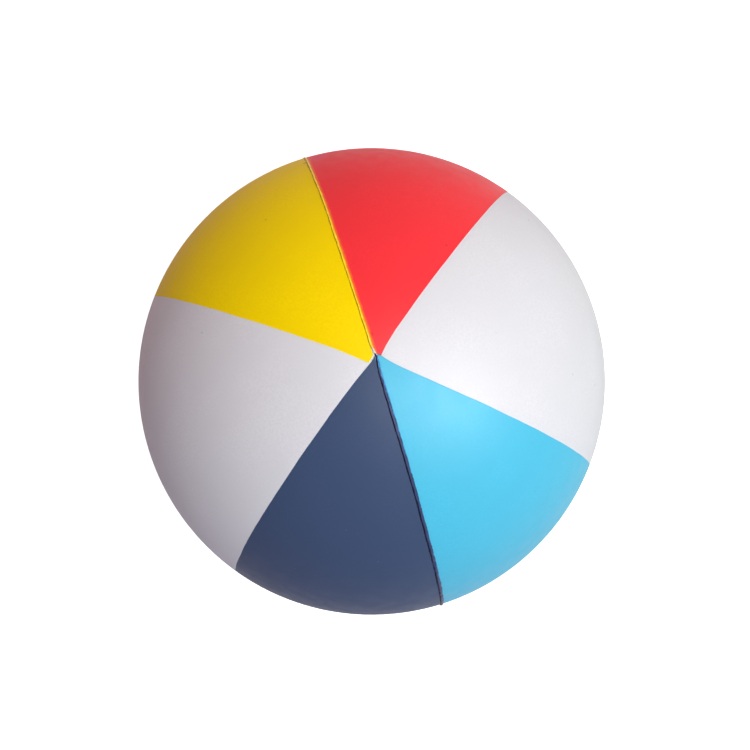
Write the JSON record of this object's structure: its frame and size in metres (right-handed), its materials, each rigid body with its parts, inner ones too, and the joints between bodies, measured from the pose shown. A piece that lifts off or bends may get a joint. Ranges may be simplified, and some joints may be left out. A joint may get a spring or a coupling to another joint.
{
  "type": "inflatable beach ball",
  "caption": "Inflatable ball of vinyl gores in red, yellow, navy, light blue and white, with a raised perimeter weld and a push-in air valve.",
  "frame": {"origin": "centre of the ball", "axes": "+Z through the upper pole, where the six panel tips meet; the raised weld lies in the plane X = 0; +X towards the white panel that holds the valve"},
  "size_m": [0.3, 0.3022, 0.3022],
  "materials": {
    "vinyl_red": "satin",
    "vinyl_white": "satin",
    "vinyl_light_blue": "satin",
    "vinyl_navy": "satin",
    "vinyl_yellow": "satin",
    "weld_bead": "satin",
    "backing_vinyl": "matte",
    "valve_vinyl": "satin"
  },
  "bodies": {
    "ball": {"panel_red": "vinyl_red", "panel_white_right": "vinyl_white", "panel_light_blue": "vinyl_light_blue", "panel_navy": "vinyl_navy", "panel_white_left": "vinyl_white", "panel_yellow": "vinyl_yellow", "perimeter_seam": "weld_bead", "seam_tape_red_white": "backing_vinyl", "seam_tape_white_blue": "backing_vinyl", "seam_tape_navy_white": "backing_vinyl", "seam_tape_white_yellow": "backing_vinyl", "pole_patch_top": "backing_vinyl", "pole_patch_bottom": "backing_vinyl", "valve_patch": "vinyl_white", "valve_flange": "valve_vinyl", "valve_skirt": "valve_vinyl"},
    "valve_stem": {"valve_stem": "valve_vinyl"},
    "valve_plug": {"plug": "valve_vinyl", "plug_strap": "valve_vinyl"},
    "check_flap": {"check_flap": "valve_vinyl"}
  },
  "joints": [
    {"name": "stem_pull", "type": "slide", "parent": "ball", "child": "valve_stem", "axis": [0.9063, 0, -0.4226], "range_m": [0, 0.013], "deforming": ["valve_skirt"]},
    {"name": "plug_swing", "type": "hinge", "parent": "valve_stem", "child": "valve_plug", "pos_m": [0.13852, 0, -0.05599], "axis": [0, -1, 0], "range_deg": [0, 120], "deforming": ["plug_strap"]},
    {"name": "flap_open", "type": "hinge", "parent": "valve_stem", "child": "check_flap", "pos_m": [0.12093, 0, -0.06235], "axis": [0, -1, 0], "range_deg": [0, 45], "stiffness_Nm_per_rad": 0.0001, "springref_deg": -9.74}
  ]
}
